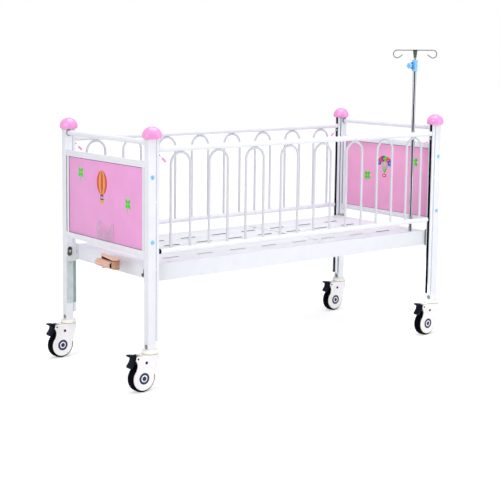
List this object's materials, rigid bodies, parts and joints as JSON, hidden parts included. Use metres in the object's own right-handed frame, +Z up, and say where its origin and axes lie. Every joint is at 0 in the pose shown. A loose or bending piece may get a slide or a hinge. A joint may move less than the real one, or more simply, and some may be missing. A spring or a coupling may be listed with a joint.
{
  "type": "pediatric hospital cot",
  "caption": "Child's hospital cot with arched drop-side rails, pink end panels, crank-raised backrest, drip pole and braked castors.",
  "frame": {"origin": "on the floor, under the middle of the whole cot with its castors trailing to the foot end", "axes": "+X from the foot end to the head end, +Y from the front (drip pole side) to the back, +Z up"},
  "size_m": [1.9234, 0.789, 1.478],
  "materials": {
    "white_paint": "gloss powder coat",
    "white_aluminium": "gloss powder coat",
    "white_plastic": "moulded, satin",
    "pink_plastic": "moulded, gloss",
    "pink_panel": "smooth laminate",
    "blue_plastic": "moulded, gloss",
    "copper_plastic": "moulded, satin",
    "black_plastic": "moulded, satin",
    "tyre": "smooth rubber",
    "steel": "polished tube",
    "zinc": "zinc plated",
    "clear_acrylic": "clear"
  },
  "bodies": {
    "frame": {"post_front_foot": "white_paint", "post_cap_front_foot": "pink_plastic", "corner_bracket_front_foot": "zinc", "pole_socket_front_foot": "white_paint", "post_front_head": "white_paint", "post_cap_front_head": "pink_plastic", "corner_bracket_front_head": "zinc", "pole_socket_front_head": "white_paint", "post_back_foot": "white_paint", "post_cap_back_foot": "pink_plastic", "corner_bracket_back_foot": "zinc", "pole_socket_back_foot": "white_paint", "post_back_head": "white_paint", "post_cap_back_head": "pink_plastic", "corner_bracket_back_head": "zinc", "pole_socket_back_head": "white_paint", "front_apron": "white_paint", "back_apron": "white_paint", "foot_top_tube": "white_paint", "foot_end_frame": "white_aluminium", "foot_panel": "pink_panel", "foot_beam": "white_paint", "head_top_tube": "white_paint", "head_end_frame": "white_aluminium", "head_panel": "pink_panel", "head_beam": "white_paint", "chart_holder": "clear_acrylic", "deck_cross_member": "white_paint", "hinge_tube": "white_paint", "fixed_deck": "white_paint", "crank_bush": "black_plastic"},
    "front_rail": {"front_rail": "white_paint"},
    "back_rail": {"back_rail": "white_paint"},
    "backrest": {"backrest_deck": "white_paint", "backrest_lever": "zinc"},
    "crank": {"crank_screw": "steel", "crank_arm": "copper_plastic"},
    "grip": {"crank_grip": "copper_plastic"},
    "push_rod": {"lift_nut": "zinc", "push_tube": "white_paint"},
    "drip_pole": {"drip_pole_tube": "steel", "drip_pole_clamp": "blue_plastic"},
    "drip_hooks": {"drip_hook_rod": "steel"},
    "drip_knob": {"drip_clamp_knob": "blue_plastic"},
    "front_foot_latch": {"front_latch_foot": "pink_plastic"},
    "front_head_latch": {"front_latch_head": "pink_plastic"},
    "back_foot_latch": {"back_latch_foot": "pink_plastic"},
    "back_head_latch": {"back_latch_head": "pink_plastic"},
    "front_foot_castor": {"castor_front_foot_shell": "white_plastic"},
    "front_foot_wheel": {"castor_front_foot_wheel": "tyre"},
    "front_foot_pedal": {"castor_front_foot_pedal": "black_plastic"},
    "front_head_castor": {"castor_front_head_shell": "white_plastic"},
    "front_head_wheel": {"castor_front_head_wheel": "tyre"},
    "front_head_pedal": {"castor_front_head_pedal": "black_plastic"},
    "back_foot_castor": {"castor_back_foot_shell": "white_plastic"},
    "back_foot_wheel": {"castor_back_foot_wheel": "tyre"},
    "back_foot_pedal": {"castor_back_foot_pedal": "black_plastic"},
    "back_head_castor": {"castor_back_head_shell": "white_plastic"},
    "back_head_wheel": {"castor_back_head_wheel": "tyre"},
    "back_head_pedal": {"castor_back_head_pedal": "black_plastic"}
  },
  "joints": [
    {"name": "front_rail_drop", "type": "slide", "parent": "frame", "child": "front_rail", "axis": [0, 0, 1], "range_m": [-0.34, 0]},
    {"name": "front_foot_latch_lift", "type": "hinge", "parent": "front_rail", "child": "front_foot_latch", "pos_m": [-0.80175, -0.351, 1.026], "axis": [0, -1, 0], "range_deg": [0, 20], "stiffness_Nm_per_rad": 0.05, "springref_deg": -5.73},
    {"name": "front_head_latch_lift", "type": "hinge", "parent": "front_rail", "child": "front_head_latch", "pos_m": [0.88025, -0.351, 1.026], "axis": [0, 1, 0], "range_deg": [0, 20], "stiffness_Nm_per_rad": 0.05, "springref_deg": -5.73},
    {"name": "back_rail_drop", "type": "slide", "parent": "frame", "child": "back_rail", "axis": [0, 0, 1], "range_m": [-0.34, 0]},
    {"name": "back_foot_latch_lift", "type": "hinge", "parent": "back_rail", "child": "back_foot_latch", "pos_m": [-0.80175, 0.351, 1.026], "axis": [0, -1, 0], "range_deg": [0, 20], "stiffness_Nm_per_rad": 0.05, "springref_deg": -5.73},
    {"name": "back_head_latch_lift", "type": "hinge", "parent": "back_rail", "child": "back_head_latch", "pos_m": [0.88025, 0.351, 1.026], "axis": [0, 1, 0], "range_deg": [0, 20], "stiffness_Nm_per_rad": 0.05, "springref_deg": -5.73},
    {"name": "crank_turn", "type": "hinge", "parent": "frame", "child": "crank", "pos_m": [-0.86075, -0.024, 0.505], "axis": [1, 0, 0], "range_deg": [0, 7560]},
    {"name": "backrest_tilt", "type": "hinge", "parent": "frame", "child": "backrest", "pos_m": [0.18925, 0, 0.53], "axis": [0, -1, 0], "range_deg": [0, 70]},
    {"name": "push_rod_slide", "type": "slide", "parent": "frame", "child": "push_rod", "axis": [1, 0, 0], "range_m": [0, 0.12603]},
    {"name": "grip_fold", "type": "hinge", "parent": "crank", "child": "grip", "pos_m": [-0.90175, -0.16, 0.522], "axis": [0, 0, 1], "range_deg": [0, 90]},
    {"name": "drip_pole_lift", "type": "slide", "parent": "frame", "child": "drip_pole", "axis": [0, 0, 1], "range_m": [0, 0.1]},
    {"name": "drip_hook_raise", "type": "slide", "parent": "drip_pole", "child": "drip_hooks", "axis": [0, 0, 1], "range_m": [0, 0.45]},
    {"name": "drip_knob_turn", "type": "hinge", "parent": "drip_pole", "child": "drip_knob", "pos_m": [0.77425, -0.312, 1.398], "axis": [-1, 0, 0], "range_deg": [0, 360]},
    {"name": "front_foot_swivel", "type": "hinge", "parent": "frame", "child": "front_foot_castor", "pos_m": [-0.84775, -0.351, 0.182], "axis": [0, 0, 1], "continuous": true},
    {"name": "front_foot_roll", "type": "hinge", "parent": "front_foot_castor", "child": "front_foot_wheel", "pos_m": [-0.89175, -0.351, 0.0625], "axis": [0, 1, 0], "continuous": true},
    {"name": "front_foot_brake", "type": "hinge", "parent": "front_foot_castor", "child": "front_foot_pedal", "pos_m": [-0.92275, -0.351, 0.153], "axis": [0, -1, 0], "range_deg": [0, 12]},
    {"name": "front_head_swivel", "type": "hinge", "parent": "frame", "child": "front_head_castor", "pos_m": [0.92625, -0.351, 0.182], "axis": [0, 0, 1], "continuous": true},
    {"name": "front_head_roll", "type": "hinge", "parent": "front_head_castor", "child": "front_head_wheel", "pos_m": [0.88225, -0.351, 0.0625], "axis": [0, 1, 0], "continuous": true},
    {"name": "front_head_brake", "type": "hinge", "parent": "front_head_castor", "child": "front_head_pedal", "pos_m": [0.85125, -0.351, 0.153], "axis": [0, -1, 0], "range_deg": [0, 12]},
    {"name": "back_foot_swivel", "type": "hinge", "parent": "frame", "child": "back_foot_castor", "pos_m": [-0.84775, 0.351, 0.182], "axis": [0, 0, 1], "continuous": true},
    {"name": "back_foot_roll", "type": "hinge", "parent": "back_foot_castor", "child": "back_foot_wheel", "pos_m": [-0.89175, 0.351, 0.0625], "axis": [0, 1, 0], "continuous": true},
    {"name": "back_foot_brake", "type": "hinge", "parent": "back_foot_castor", "child": "back_foot_pedal", "pos_m": [-0.92275, 0.351, 0.153], "axis": [0, -1, 0], "range_deg": [0, 12]},
    {"name": "back_head_swivel", "type": "hinge", "parent": "frame", "child": "back_head_castor", "pos_m": [0.92625, 0.351, 0.182], "axis": [0, 0, 1], "continuous": true},
    {"name": "back_head_roll", "type": "hinge", "parent": "back_head_castor", "child": "back_head_wheel", "pos_m": [0.88225, 0.351, 0.0625], "axis": [0, 1, 0], "continuous": true},
    {"name": "back_head_brake", "type": "hinge", "parent": "back_head_castor", "child": "back_head_pedal", "pos_m": [0.85125, 0.351, 0.153], "axis": [0, -1, 0], "range_deg": [0, 12]}
  ],
  "couplings": [
    {"joint": "backrest_tilt", "follows": "crank_turn", "ratio": 0.0092593},
    {"joint": "push_rod_slide", "follows": "crank_turn", "m_per_rad": 0.000955}
  ]
}
